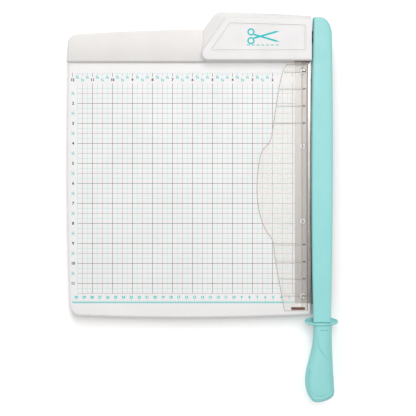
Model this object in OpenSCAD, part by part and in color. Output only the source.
// Lever-arm paper trimmer with a 12-inch cutting platform, in millimetres.
// Inside the modules X = 0 is the cut line, Y = 0 is the paper face of the fence and Z = 0 is the table.
// placed() then moves every piece so that the origin is the middle of the whole footprint.

/* [Base] */
// Distance from the cut line to the middle of the left edge
base_w = 312.7; // [308:0.1:318]
// Distance from the fence to the front right corner
base_front = 319.6; // [318:0.1:324]
// Height of the paper platform above the table
platform_z = 22; // [21:0.5:24]
// Thickness of the platform plate
plate_t = 2.5; // [2:0.1:3]
// Thickness of the outer walls
wall_t = 2.4; // [2:0.1:3]
// Plan radius of the base corners
corner_r = 13; // [8:1:14]
// Height of the rubber feet
foot_h = 3; // [2:0.5:4]
// Radius of the rubber feet
foot_r = 8; // [6:0.5:9]
// Spacing of the cross ribs under the platform
rib_pitch = 69; // [60:1:70]
// Thickness of those ribs
rib_t = 1.6; // [1.2:0.1:2.4]

/* [Fence and hood] */
// Height of the fence above the platform
fence_h = 9; // [7:0.5:10]
// Wall of the fence, housing and hood mouldings
moulding_t = 2.2; // [1.8:0.1:2.6]
// Height of the housing under the hood plate, above the platform
housing_h = 21; // [20.5:0.5:23]
// Thickness of the hood plate
hood_t = 4; // [3.5:0.5:5]
// Width of the groove round the hood's inset panel
panel_groove = 1; // [0.6:0.1:1.4]

/* [Bed knife] */
// Width of the steel strip
knife_w = 22.1; // [20:0.1:24]
// Thickness of the steel strip
knife_t = 3; // [2:0.5:3]
// Length of the steel strip in front of the fence
knife_front = 304.6; // [303:0.1:305]
// Gap between the bed knife and the blade
cut_gap = 0.4; // [0.3:0.1:0.6]

/* [Lever arm] */
// Distance of the pivot axis behind the fence face
pivot_y = 31.7; // [30:0.1:33]
// Height of the pivot axis
pivot_z = 32; // [31.5:0.1:33]
// Top of the arm cover at rest
arm_top = 44; // [43.5:0.5:46]
// Bottom of the arm cover's outer wall
arm_skirt = 27.5; // [26:0.5:29]
// Width of the arm cover at its front end
arm_front_w = 22.3; // [21:0.1:23]
// Width of the arm cover at the pivot
arm_rear_w = 23.6; // [23:0.1:24.5]
// Outward bow of the arm cover's outer side
arm_bow = 1.8; // [0:0.1:2]
// Outward bow of its blade side
blade_side_bow = 1.7; // [0:0.1:1.8]
// How far the arm cover reaches behind the fence face
arm_rear = 55.6; // [55:0.1:59]
// How far the arm cover reaches in front of the fence face
arm_front = 327.9; // [327:0.1:329]
// Radius of the pivot bolt
bolt_r = 4; // [3.5:0.1:4.5]
// Running clearance of the pivot bolt in its bushing
bolt_play = 0.05; // [0.02:0.01:0.09]

/* [Blade] */
// Blade thickness
blade_t = 1.6; // [1.2:0.1:2]
// Top of the blade at rest
blade_top = 34.5; // [33.5:0.5:35]
// Height of the cutting edge at the rear end
edge_rear = 20; // [19:0.5:21]
// Height of the cutting edge at the front end
edge_front = 9; // [7:0.5:12]
// Downward bulge of the cutting edge
edge_bulge = 5; // [0:0.5:8]
// Height of the ground bevel
edge_bevel = 3; // [2:0.5:4]
// Front end of the blade
blade_front = 305.6; // [305:0.1:306]

/* [Handle] */
// Middle of the hand guard across the arm
guard_plate_x = 10.2; // [9:0.1:12]
// Half width of the hand guard
guard_plate_a = 21.2; // [20:0.1:23]
// Half height of the hand guard
guard_plate_b = 14.5; // [13:0.5:16]
// Front face of the hand guard
handle_start = 331.7; // [331:0.1:333]
// Front end of the handle
handle_end = 428; // [424:0.5:432]
// Height of the split between the handle halves
handle_split = 36; // [35.5:0.5:36]

/* [Clear paper guard] */
// Thickness of the clear sheet
sheet_t = 2.2; // [1.8:0.1:2.6]
// Rest gap between the sheet and the platform
sheet_gap = 0.3; // [0.2:0.1:0.4]
// How far the guard lifts for the paper
sheet_lift = 3; // [2:0.5:3]
// Spacing of the cross ribs
cross_rib_pitch = 21.7; // [20:0.1:22]
// Height of the bead along the cut line, above the sheet
bead_h = 2.4; // [1.5:0.1:3]

/* [Blade lock] */
// Radius of the lock pin
lock_r = 2.4; // [2:0.1:2.6]
// Travel of the lock slide
lock_travel = 6; // [5:0.5:6.5]
// Height of the lock pin
lock_z = 8.5; // [8:0.5:9]

/* [Hidden] */
$fn = 48;

// Small overlap that keeps cutting faces from being coplanar.
eps = 0.01;

// Footprint of the whole trimmer, for the origin.
right_x = guard_plate_x + guard_plate_a;
rear_y = 64.5;
centre_x = (right_x - base_w) / 2;
centre_y = (rear_y - handle_end) / 2;

// Platform levels.
plate_z = platform_z - plate_t;
base_right = -1.4;
knife_floor = platform_z - knife_t;
knife_right = -cut_gap;
knife_left = knife_right - knife_w;
knife_rear = 4;
shelf_left = knife_left - wall_t;
shelf_z = knife_floor - plate_t;

// Arm levels and sides.
arm_left = -1;
arm_wall = 2.2;
spine_t = 2;
spine_x = blade_t;
spine_low = platform_z - 1;
spine_top = handle_split + spine_t;
spine_front = arm_front - arm_wall - 0.3;
web_front = 322;
flange_right = 18;
tang_x = [5, 17];
tang_y = 405;
cover_inner = arm_top - 2.7;
blade_rear = 20;

// Screws: shaft and head radii of the small and the large size.
small_r = 1.75;
small_head = 3.2;
large_r = 2;
large_head = 3.8;
head_h = 2.2;
blade_head = 3.6;
blade_head_h = 1.5;
foot_peg_r = 2.6;
boss_low = 8;
counterbore_z = 16;

foot_spots = [[-292, -300], [-155, -305], [-40, -299], [-292, 16], [-155, 20], [-23, 32]];
fence_spots = [[-285, 16], [-235, 20], [-190, 21], [-150, 21]];
hood_spots = [[-127, 12], [-112, 42], [-55, 49], [-50, 9]];
// Where the web of each hood post meets the housing wall.
hood_web_ends = [1.4, 62.4, 60.8, 1.4];
bracket_spots = [[-14, 17], [-14, 47], [-33, 17], [-33, 47]];
knife_spots = [for (k = [0:3]) [-12.4, -9.9 - 95.2 * k]];
cover_spots = [for (k = [0:3]) [11, 8 - 105 * k]];
blade_spots = [for (k = [0:4]) [10 - 76 * k, 29]];
handle_spots = [[11, -352], [11, -392]];

// Corner where the wide rear part of the base begins.
rear_step = [-138, 42.9];

// Slots for the clear guard's tabs.
front_tab_x = [-26.4, -10.4];
front_tab_y = [-312.3, -310.1];
rear_tab_x = [-23.6, -14.5];
lock_y = -308.4;
lock_x = [-20, -14];
ledge_y = -313.3;
ledge_top = 17;

// Long ribs under the platform as [left face, front end, rear end]; the walls trim the ends.
long_rib_lines = [[-208, -330, 70], [-100, -330, 70],
    [shelf_left - rib_t, -knife_front, knife_rear]];
// Front face of the first cross rib.
bay_rib_y = -278;

// ---- Helpers -----------------------------------------------------------------------------------

module placed() {
    translate([-centre_x, -centre_y, 0]) children();
}

// A flat layer between two heights.
module slab(z0, z1) {
    translate([0, 0, z0]) linear_extrude(height = z1 - z0) children();
}

// A layer whose upper edge is broken by two small steps.
module eased_slab(z0, z1, ease) {
    slab(z0, z1 - ease) children();
    slab(z1 - ease - eps, z1 - ease / 3) offset(delta = -ease / 3) children();
    slab(z1 - ease / 3 - eps, z1) offset(delta = -ease) children();
}

module block(x, y, z) {
    translate([x[0], y[0], z[0]]) cube([x[1] - x[0], y[1] - y[0], z[1] - z[0]]);
}

module post(spot, r, z0, z1) {
    translate([spot[0], spot[1], z0]) cylinder(r = r, h = z1 - z0);
}

// A round bar along X.
module bar_x(y, z, r, x0, x1) {
    translate([x0, y, z]) rotate([0, 90, 0]) cylinder(r = r, h = x1 - x0);
}

module cross_recess(depth, size) {
    translate([-size / 2, -0.4, -depth]) cube([size, 0.8, depth + eps]);
    translate([-0.4, -size / 2, -depth]) cube([0.8, size, depth + eps]);
}

// A pan-head screw driven from below: the head is at z0 and the tip at z1.
module screw_up(spot, z0, z1) {
    difference() {
        union() {
            post(spot, small_head, z0 - head_h, z0);
            post(spot, small_r, z0 - eps, z1);
        }
        translate([spot[0], spot[1], z0 - head_h]) mirror([0, 0, 1]) cross_recess(1, 3.6);
    }
}

// Points from p towards q on a shallow curve that bulges to the right of that direction.
function bowed(p, q, bulge, n = 10) =
    let (d = q - p, side = [d[1], -d[0]] / norm(d))
    [for (i = [0:n - 1]) let (t = i / n) p + d * t + side * (4 * bulge * t * (1 - t))];

// A smooth curve through the points p, with n steps between each two.
function smooth_point(a, b, c, d, t) =
    0.5 * (2 * b + (c - a) * t + (2 * a - 5 * b + 4 * c - d) * t * t
        + (3 * b - a - 3 * c + d) * t * t * t);
function smooth(p, n = 6) =
    let (last = len(p) - 1)
    [for (i = [0:last - 1], k = [0:n - 1])
        smooth_point(p[max(i - 1, 0)], p[i], p[i + 1], p[min(i + 2, last)], k / n)];

// ---- Base ----------------------------------------------------------------------------------------

// Plan of the base: bowed left and front edges, and a wider part behind the fence for the pivot.
module base_plan() {
    front_left = [-308.4, -320.6];
    front_right = [base_right, -base_front];
    rear_left = [-310.2, 36];
    offset(r = corner_r) offset(delta = -corner_r) polygon(concat(
        bowed(rear_left, front_left, base_w + (rear_left[0] + front_left[0]) / 2),
        bowed(front_left, front_right, 3.4),
        [[base_right + corner_r, -base_front], [base_right + corner_r, 59.3]],
        [[base_right, 59.3], [-48.4, 62.1], [-118.8, rear_y], [-125.8, 60.8], rear_step],
        bowed(rear_step, rear_left, 1.3)
    ));
}

module trimmed_base_plan(inset) {
    intersection() {
        offset(delta = -inset) base_plan();
        translate([-400, -400]) square([400 + base_right - inset, 600]);
    }
}

// Holes and slots that pass through more than one part of the base moulding.
module base_cuts() {
    // Channel that the bed knife lies in.
    block([knife_left, 5], [-knife_front, knife_rear], [knife_floor, platform_z + 1]);
    // Slot for the guard's front tab.
    block([-27.4, -9.4], [-313.1, -309.3], [plate_z - 1, platform_z + 1]);
    // Hole and window for the blade lock.
    bar_x(lock_y, lock_z, lock_r + 0.4, base_right - wall_t - 1, base_right + 1);
    block([lock_x[0] - 0.5, lock_x[1] + lock_travel + 0.5], [-330, -316], [5.6, 11.4]);
    for (p = foot_spots) {
        post(p, foot_peg_r, foot_h - 1, foot_h + 6);
    }
    for (p = concat(fence_spots, hood_spots)) {
        post(p, small_head + 0.3, boss_low - 1, counterbore_z);
        post(p, small_r, counterbore_z - 1, platform_z + 1);
    }
    for (p = concat(bracket_spots, knife_spots)) {
        post(p, large_r, 10, platform_z + 1);
    }
}

// Top of the base moulding, with a lower shelf under the bed knife.
module base_plate() {
    placed() color([0.95, 0.94, 0.95]) difference() {
        union() {
            eased_slab(plate_z, platform_z, 1.5) trimmed_base_plan(0);
            block([shelf_left, base_right - wall_t], [-knife_front - 1, knife_rear + 2],
                [shelf_z, plate_z + eps]);
        }
        base_cuts();
    }
}

module base_walls() {
    placed() color([0.94, 0.93, 0.94]) difference() {
        slab(foot_h, plate_z) difference() {
            trimmed_base_plan(0);
            trimmed_base_plan(wall_t);
        }
        base_cuts();
    }
}

module long_ribs() {
    placed() color([0.93, 0.92, 0.93]) intersection() {
        slab(boss_low, plate_z) trimmed_base_plan(wall_t);
        for (r = long_rib_lines) {
            block([r[0], r[0] + rib_t], [r[1], r[2]], [boss_low, platform_z]);
        }
    }
}

// Cross ribs in the bays between the left wall and the long ribs.
module bay_ribs() {
    faces = [for (r = long_rib_lines) r[0]];
    bays = [[-320, faces[0]], [faces[0] + rib_t, faces[1]], [faces[1] + rib_t, faces[2]]];
    placed() color([0.93, 0.92, 0.93]) intersection() {
        slab(boss_low, plate_z) trimmed_base_plan(wall_t);
        for (bay = bays, k = [0:4]) {
            y = bay_rib_y + rib_pitch * k;
            block(bay, [y, y + rib_t], [boss_low, platform_z]);
        }
    }
}

module base_bosses() {
    placed() color([0.93, 0.92, 0.93]) difference() {
        union() {
            for (p = concat(fence_spots, hood_spots)) {
                post(p, 5.5, boss_low, plate_z);
            }
            for (p = bracket_spots) {
                post(p, 4.5, boss_low, plate_z);
            }
            for (p = knife_spots) {
                post(p, 4.5, boss_low, shelf_z);
            }
            for (p = foot_spots) {
                post(p, foot_r + 1.5, foot_h, plate_z);
            }
        }
        base_cuts();
    }
}

// Shelf outside the cut line that the arm comes down on.
module rest_ledge() {
    placed() color([0.94, 0.93, 0.94])
        block([base_right, 12], [-base_front, ledge_y], [6, ledge_top]);
}

module rubber_feet() {
    placed() color([0.25, 0.25, 0.26]) for (p = foot_spots) {
        post(p, foot_r - 0.8, 0, 1);
        post(p, foot_r, 0.8, foot_h);
        post(p, foot_peg_r - 0.02, foot_h - eps, foot_h + 5);
    }
}

module arm_bumper() {
    placed() color([0.3, 0.3, 0.31]) block([0.5, 9], [-318, -314], [ledge_top, spine_low - 0.4]);
}

// ---- Fence ---------------------------------------------------------------------------------------

module fence_plan(inset) {
    intersection() {
        offset(delta = -inset) base_plan();
        translate([-400, inset]) square([400 + rear_step[0] - 0.2 - inset, 60]);
    }
}

module fence_rail() {
    top = platform_z + fence_h;
    placed() color([0.9, 0.88, 0.87]) difference() {
        union() {
            difference() {
                eased_slab(platform_z, top, 1.5) fence_plan(0.6);
                slab(platform_z - 1, top - moulding_t) fence_plan(0.6 + moulding_t);
            }
            for (p = fence_spots) {
                post(p, 4, platform_z, top - 1);
            }
        }
        for (p = fence_spots) {
            post(p, small_r, platform_z - 1, top - moulding_t);
        }
    }
}

module fence_screws() {
    placed() color([0.7, 0.7, 0.72]) for (p = fence_spots) {
        screw_up(p, counterbore_z, platform_z + fence_h - moulding_t);
    }
}

// ---- Hood ----------------------------------------------------------------------------------------

// Footprint of the housing on the base.
module housing_plan() {
    polygon([[-137.8, 0.3], [-2.4, 0.3], [-2.4, 58.9], [-48.4, 61.6], [-119, 63.8],
        [-125, 60.2], [-137.8, 42.3]]);
}

// Plan of the hood plate.
module hood_plan() {
    offset(r = 4) offset(delta = -4)
        polygon([[-144.3, 0.6], [-2.9, 0.6], [-2.9, 53.7], [-111.8, 55.9]]);
}

// The housing stands straight as high as the fence and then leans in to the hood plate.
module housing_form(inset, low, high) {
    hull() {
        slab(low, platform_z + fence_h) offset(delta = -inset) housing_plan();
        slab(high - 0.1, high) offset(delta = -inset - 2) hood_plan();
    }
}

// Webs that join the screw posts to the front and rear walls.
module housing_webs() {
    for (i = [0:len(hood_spots) - 1]) {
        p = hood_spots[i];
        wall_y = hood_web_ends[i];
        block([p[0] - 0.9, p[0] + 0.9], [min(p[1], wall_y), max(p[1], wall_y)],
            [platform_z, platform_z + fence_h - 1]);
    }
}

module pivot_housing() {
    top = platform_z + housing_h;
    arch_r = 9.2;
    placed() color([0.93, 0.92, 0.92]) difference() {
        union() {
            difference() {
                housing_form(0, platform_z, top);
                housing_form(moulding_t, platform_z - 1, top + 1);
            }
            housing_webs();
            for (p = hood_spots) {
                post(p, 4, platform_z, top - 1.5);
            }
        }
        for (p = hood_spots) {
            post(p, small_r, platform_z - 1, top);
        }
        // Arched opening for the pivot, and the slot that the clear guard's rear tab floats in.
        bar_x(pivot_y, pivot_z, arch_r, -8, 1);
        block([-8, 1], [pivot_y - arch_r, pivot_y + arch_r], [platform_z - 1, pivot_z]);
        block([rear_tab_x[0] - 0.8, -5.2], [-1, 5], [platform_z - 1, platform_z + 17]);
    }
}

module panel_plan(inset) {
    offset(r = 3) offset(delta = -3 - inset)
        polygon([[-128, 13.2], [-11, 13.2], [-11, 44.4], [-106, 47.2]]);
}

module hood_cover() {
    low = platform_z + housing_h;
    top = low + hood_t;
    placed() color([0.96, 0.95, 0.96]) difference() {
        union() {
            eased_slab(low, top, 1.2) hood_plan();
            for (p = hood_spots) {
                post(p, 4, low - 1.5, low + eps);
            }
        }
        slab(top - 1.2, top + 1) panel_plan(0);
        for (p = hood_spots) {
            post(p, small_r, low - 2, top - 1.8);
        }
    }
}

module hood_panel() {
    top = platform_z + housing_h + hood_t;
    placed() color([0.97, 0.97, 0.97]) slab(top - 1.2, top - 0.1) panel_plan(panel_groove);
}

module hood_screws() {
    placed() color([0.7, 0.7, 0.72]) for (p = hood_spots) {
        screw_up(p, counterbore_z, platform_z + housing_h + hood_t - 2);
    }
}

// ---- Bed knife -----------------------------------------------------------------------------------

module countersink(spot, top) {
    translate([spot[0], spot[1], top - 1.8]) cylinder(r1 = large_r, r2 = large_head, h = 1.8 + eps);
}

module bed_knife() {
    placed() color([0.75, 0.73, 0.72]) difference() {
        block([knife_left, knife_right], [-knife_front, knife_rear], [knife_floor, platform_z]);
        for (p = knife_spots) {
            post(p, large_r, knife_floor - 1, platform_z);
            countersink(p, platform_z);
        }
    }
}

module bed_knife_screws() {
    placed() color([0.8, 0.8, 0.8]) for (p = knife_spots) {
        difference() {
            union() {
                post(p, large_r, 10.5, platform_z - 1);
                intersection() {
                    countersink(p, platform_z);
                    post(p, large_head + 1, knife_floor, platform_z);
                }
            }
            translate([p[0], p[1], platform_z]) cross_recess(1.2, 4.4);
        }
    }
}

// ---- Pivot ---------------------------------------------------------------------------------------

bracket_x = -7;
bracket_t = 2;
bushing_end = -10.2;
washer_t = 1.2;
spring_x = [-23.1, bushing_end - 0.3 - washer_t];
nut_x = [-30, spring_x[0] - washer_t];

module pivot_bracket() {
    placed() color([0.66, 0.67, 0.69]) difference() {
        union() {
            block([bracket_x - bracket_t, bracket_x], [12, 52], [platform_z, platform_z + 18]);
            block([-38, bracket_x - bracket_t + eps], [12, 52], [platform_z, platform_z + bracket_t]);
        }
        bar_x(pivot_y, pivot_z, bolt_r + 2, bracket_x - bracket_t - 1, bracket_x + 1);
        for (p = bracket_spots) {
            post(p, large_r, platform_z - 1, platform_z + bracket_t + 1);
        }
    }
}

module bracket_screws() {
    top = platform_z + bracket_t;
    placed() color([0.7, 0.7, 0.72]) for (p = bracket_spots) {
        difference() {
            union() {
                post(p, large_r, 10.5, top + eps);
                post(p, large_head, top, top + head_h);
            }
            translate([p[0], p[1], top + head_h]) cross_recess(1.2, 4.4);
        }
    }
}

module pivot_bushing() {
    placed() color([0.78, 0.6, 0.35]) difference() {
        union() {
            bar_x(pivot_y, pivot_z, bolt_r + 2, bushing_end, bracket_x);
            bar_x(pivot_y, pivot_z, 8.5, bracket_x, -3.2);
        }
        bar_x(pivot_y, pivot_z, bolt_r + bolt_play, bushing_end - 1, 0);
    }
}

module pivot_bolt() {
    placed() color([0.72, 0.73, 0.75]) difference() {
        union() {
            bar_x(pivot_y, pivot_z, bolt_r, nut_x[0] - 2, spine_x + spine_t);
            bar_x(pivot_y, pivot_z, 6, spine_x + spine_t, spine_x + spine_t + 4.4);
        }
        translate([spine_x + spine_t + 2, pivot_y, pivot_z]) rotate([0, 90, 0])
            cylinder(r = 2.9, h = 3, $fn = 6);
    }
}

module pivot_spacer() {
    placed() color([0.93, 0.92, 0.88]) difference() {
        bar_x(pivot_y, pivot_z, 7.5, -2.9, spine_x);
        bar_x(pivot_y, pivot_z, bolt_r, -4, spine_x + 1);
    }
}

module pivot_washers() {
    placed() color([0.75, 0.75, 0.77]) for (x = [spring_x[1], spring_x[0] - washer_t]) {
        difference() {
            bar_x(pivot_y, pivot_z, 7.4, x, x + washer_t);
            bar_x(pivot_y, pivot_z, bolt_r, x - 1, x + washer_t + 1);
        }
    }
}

// Compression spring that pulls the arm against the bed knife: a round wire swept along a helix.
module pivot_spring() {
    wire_r = 0.7;
    coil_r = 5.6;
    turns = 5;
    steps = 16;
    sides = 6;
    rings = turns * steps;
    run = spring_x[1] - spring_x[0] - 2 * wire_r;
    points = [for (i = [0:rings], k = [0:sides - 1])
        let (a = 360 * i / steps, b = 360 * k / sides, r = coil_r + wire_r * cos(b))
        [spring_x[0] + wire_r + run * i / rings + wire_r * sin(b),
            pivot_y + r * cos(a), pivot_z + r * sin(a)]];
    sleeve = [for (i = [0:rings - 1], k = [0:sides - 1])
        let (n = (k + 1) % sides, a = i * sides, b = a + sides)
        [a + k, b + k, b + n, a + n]];
    ends = [[for (k = [0:sides - 1]) k], [for (k = [sides - 1:-1:0]) rings * sides + k]];
    placed() color([0.6, 0.61, 0.63]) polyhedron(points = points, faces = concat(sleeve, ends));
}

module tension_nut() {
    placed() color([0.72, 0.73, 0.75]) difference() {
        translate([nut_x[0], pivot_y, pivot_z]) rotate([0, 90, 0])
            cylinder(r = 7.4, h = nut_x[1] - nut_x[0], $fn = 6);
        bar_x(pivot_y, pivot_z, bolt_r, nut_x[0] - 1, nut_x[1] + 1);
    }
}

// ---- Lever arm -----------------------------------------------------------------------------------

// Plan of the arm cover, with an elliptical corner at the rear right.
module arm_plan(inset = 0) {
    right = arm_left + arm_rear_w;
    corner = [14.5, 22];
    middle = [right - corner[0], arm_rear - corner[1]];
    offset(delta = -inset) polygon(concat(
        bowed([arm_left, arm_rear], [arm_left, -arm_front], blade_side_bow),
        [[arm_left, -arm_front]],
        bowed([arm_left + arm_front_w, -arm_front], [right, middle[1]], arm_bow),
        [for (a = [0:10:90]) middle + [corner[0] * cos(a), corner[1] * sin(a)]]
    ));
}

module arm_cover() {
    placed() color([0.63, 0.88, 0.86]) difference() {
        union() {
            difference() {
                eased_slab(arm_skirt, arm_top, 2) arm_plan();
                slab(arm_skirt - 1, cover_inner) arm_plan(arm_wall);
            }
            for (p = cover_spots) {
                post(p, 3.5, spine_top, cover_inner + eps);
            }
        }
        // The blade side is open below the top of the blade.
        block([arm_left - 3, spine_x + spine_t + 0.2], [-arm_front - 1, arm_rear - arm_wall],
            [arm_skirt - 1, blade_top + 0.5]);
        // Clearance round the pivot spacer, and the way out for the tang.
        bar_x(pivot_y, pivot_z, 8.2, arm_left - 3, spine_x);
        block([spine_x, flange_right + 0.3], [-arm_front - 1, -spine_front],
            [handle_split - 0.2, spine_top + 0.2]);
        for (p = cover_spots) {
            post(p, small_r, spine_top - 1, arm_top - 1.5);
        }
    }
}

module arm_spine() {
    web = [spine_x, spine_x + spine_t];
    placed() color([0.7, 0.7, 0.71]) difference() {
        union() {
            block(web, [-web_front, pivot_y], [spine_low, spine_top]);
            bar_x(pivot_y, pivot_z, 9, web[0], web[1]);
            block([web[0], flange_right], [-spine_front, 18], [handle_split, spine_top]);
            block(tang_x, [-tang_y, -spine_front + eps], [handle_split, spine_top]);
            // Striker plate for the blade lock.
            block(web, [lock_y - 3.2, lock_y + 3.2], [lock_z - 4, spine_low + eps]);
        }
        bar_x(pivot_y, pivot_z, bolt_r, 0, 5);
        bar_x(lock_y, lock_z, lock_r + 0.5, 0, 5);
        for (p = blade_spots) {
            bar_x(p[0], p[1], large_r, 0, 5);
        }
        for (p = cover_spots) {
            post(p, small_r, handle_split - 1, spine_top + 1);
        }
        for (p = handle_spots) {
            post(p, small_r, handle_split - 1, spine_top + 1);
        }
    }
}

module cover_screws() {
    placed() color([0.7, 0.7, 0.72]) for (p = cover_spots) {
        screw_up(p, handle_split, arm_top - 1.8);
    }
}

// Side profile of the blade as [Y, Z] points. Its edge bulges down and is moved up by lift.
function blade_profile(lift) = concat(
    [[blade_rear, blade_top], [blade_rear, edge_rear + lift]],
    [for (t = [0.1:0.1:0.95])
        [blade_rear - (blade_rear + blade_front) * t,
            edge_rear + lift + (edge_front - edge_rear) * t - edge_bulge * t * (1 - t)]],
    [[-blade_front, edge_front + lift], [-blade_front, blade_top]]
);

module blade_layer(x, lift) {
    translate([x, 0, 0]) rotate([90, 0, 90]) linear_extrude(height = 0.1)
        polygon(blade_profile(lift));
}

// Cone of a countersunk screw head whose flat face lies on the cutting face of the blade.
module blade_head_cone(spot, play) {
    slope = (blade_head - large_r) / blade_head_h;
    translate([-play, spot[0], spot[1]]) rotate([0, 90, 0])
        cylinder(r1 = blade_head + 2 * play * slope, r2 = large_r, h = blade_head_h + 2 * play);
}

module blade() {
    placed() color([0.8, 0.8, 0.81]) difference() {
        hull() {
            blade_layer(0, 0);
            blade_layer(blade_t - 0.1, edge_bevel);
        }
        for (p = blade_spots) {
            bar_x(p[0], p[1], large_r, -1, 3);
            blade_head_cone(p, eps);
        }
    }
}

module blade_screws() {
    placed() color([0.6, 0.61, 0.63]) for (p = blade_spots) {
        bar_x(p[0], p[1], large_r, 1, spine_x + spine_t + 4);
        blade_head_cone(p, 0);
    }
}

module blade_nuts() {
    x0 = spine_x + spine_t;
    placed() color([0.7, 0.71, 0.73]) for (p = blade_spots) {
        difference() {
            translate([x0, p[0], p[1]]) rotate([0, 90, 0]) cylinder(r = 4, h = 3.2, $fn = 6);
            bar_x(p[0], p[1], large_r, x0 - 1, x0 + 4);
        }
    }
}

// ---- Handle --------------------------------------------------------------------------------------

// An oval slice across the arm, centred on [x, z], with half width a and half height b.
module oval(y, x, z, a, b) {
    translate([x, y, z]) rotate([90, 0, 0]) scale([a, b, 1])
        cylinder(r = 1, h = 0.2, center = true, $fn = 32);
}

module hand_guard() {
    mid = 33;
    placed() color([0.6, 0.86, 0.84]) difference() {
        hull() {
            oval(-handle_start + 0.1, guard_plate_x, mid, guard_plate_a - 1, guard_plate_b - 1);
            oval(-handle_start + 1.8, guard_plate_x, mid, guard_plate_a, guard_plate_b);
            oval(-handle_start + 4.5, guard_plate_x, mid, guard_plate_a - 1.5, guard_plate_b - 1.5);
            oval(-handle_start + 7.5, guard_plate_x, mid, guard_plate_a - 9, guard_plate_b - 6);
        }
        // Socket for the end of the arm cover, and the slot for the tang.
        slab(arm_skirt - 0.1, 60) intersection() {
            offset(delta = 0.1) arm_plan();
            translate([-50, -arm_front - 0.1]) square([100, 50]);
        }
        block(tang_x, [-340, -300], [handle_split, spine_top]);
    }
}

// Sections along the handle: [distance from the fence, left side, right side, bottom, top].
handle_sections = [
    [handle_start + 0.1, 0.6, 23.2, 24, 43.4],
    [357, -1.2, 23.4, 23.4, 43.2],
    [374.5, -5.6, 24.2, 22.6, 43],
    [398, -10, 25.6, 22.2, 43],
    [415, -8.2, 26.6, 23, 42.6],
    [424, -3.6, 20.5, 25, 41.5],
    [handle_end - 0.1, 1.5, 8.5, 28.5, 38.5]
];

module handle_slice(s) {
    oval(-s[0], (s[1] + s[2]) / 2, (s[3] + s[4]) / 2, (s[2] - s[1]) / 2, (s[4] - s[3]) / 2);
}

module handle_form() {
    for (i = [0:len(handle_sections) - 2]) {
        hull() {
            handle_slice(handle_sections[i]);
            handle_slice(handle_sections[i + 1]);
        }
    }
}

module handle_upper() {
    placed() color([0.62, 0.87, 0.85]) difference() {
        handle_form();
        block([-50, 50], [-500, -300], [0, handle_split]);
        block([tang_x[0] - 0.2, tang_x[1] + 0.2], [-tang_y - 0.3, -300],
            [handle_split - 1, spine_top + 0.2]);
        for (p = handle_spots) {
            post(p, small_r, handle_split, handle_split + 5);
        }
    }
}

module handle_lower() {
    placed() color([0.6, 0.85, 0.83]) difference() {
        handle_form();
        block([-50, 50], [-500, -300], [handle_split, 60]);
        for (p = handle_spots) {
            post(p, small_head + 0.3, 15, 29);
            post(p, small_r, 28, handle_split + 1);
        }
    }
}

module handle_screws() {
    placed() color([0.7, 0.7, 0.72]) for (p = handle_spots) {
        screw_up(p, 29, handle_split + 4.5);
    }
}

// ---- Clear paper guard ---------------------------------------------------------------------------

// Plan of the clear guard: a wavy paper side and a nearly straight side along the cut line.
module guard_plan() {
    wavy_side = [[-33, -1.5], [-38.7, -12], [-44.4, -39.5], [-50.3, -79], [-54.5, -99],
        [-66, -115], [-71, -155], [-68.3, -188], [-59.8, -212], [-51, -226], [-47.6, -251],
        [-36.1, -314.4]];
    polygon(concat(
        smooth(wavy_side),
        bowed([-36.1, -314.4], [-6.2, -314.4], 0, 2),
        bowed([-6.2, -314.4], [-6.2, -1.5], -1.5),
        [[-6.2, -1.5]]
    ));
}

module cross_ribs() {
    low = platform_z + sheet_gap + sheet_t;
    slab(low - eps, low + 1.2) intersection() {
        offset(delta = -0.6) guard_plan();
        for (y = [-10.9, -229.9], k = [0:3]) {
            translate([-90, y - cross_rib_pitch * k - 1.1]) square([84, 2.2]);
        }
    }
}

module bead() {
    low = platform_z + sheet_gap + sheet_t;
    rotate([90, 0, 0]) translate([0, 0, 4]) linear_extrude(height = 308.4)
        polygon([[-14.2, low - eps], [-6.4, low - eps], [-6.4, low + bead_h - 1],
            [-7.6, low + bead_h], [-12.2, low + bead_h], [-14.2, low + bead_h - 1.6]]);
}

module paper_guard() {
    low = platform_z + sheet_gap;
    hook = plate_z - sheet_lift - 0.3;
    placed() color([0.85, 0.9, 0.92, 0.5]) union() {
        slab(low, low + sheet_t) guard_plan();
        cross_ribs();
        bead();
        block(rear_tab_x, [-2, 7], [low, low + sheet_t]);
        block(front_tab_x, front_tab_y, [hook - 2, low + eps]);
        block(front_tab_x, [front_tab_y[0], -307.6], [hook - 2, hook]);
    }
}

// ---- Blade lock ----------------------------------------------------------------------------------

module blade_lock() {
    placed() color([0.6, 0.86, 0.84]) union() {
        bar_x(lock_y, lock_z, lock_r, lock_x[1] - 1, base_right - 0.2);
        block(lock_x, [-318.6, lock_y + lock_r], [6, 11]);
        for (k = [0:2]) {
            block([lock_x[0] + 1 + 1.8 * k, lock_x[0] + 1.8 + 1.8 * k], [-319.2, -318], [6, 11]);
        }
    }
}

base_plate();
base_walls();
long_ribs();
bay_ribs();
base_bosses();
rest_ledge();
rubber_feet();
fence_rail();
fence_screws();
pivot_housing();
hood_cover();
hood_panel();
hood_screws();
bed_knife();
bed_knife_screws();
pivot_bracket();
bracket_screws();
pivot_bushing();
arm_bumper();
arm_cover();
arm_spine();
cover_screws();
blade();
blade_screws();
blade_nuts();
pivot_bolt();
pivot_spacer();
pivot_washers();
pivot_spring();
tension_nut();
hand_guard();
handle_upper();
handle_lower();
handle_screws();
paper_guard();
blade_lock();
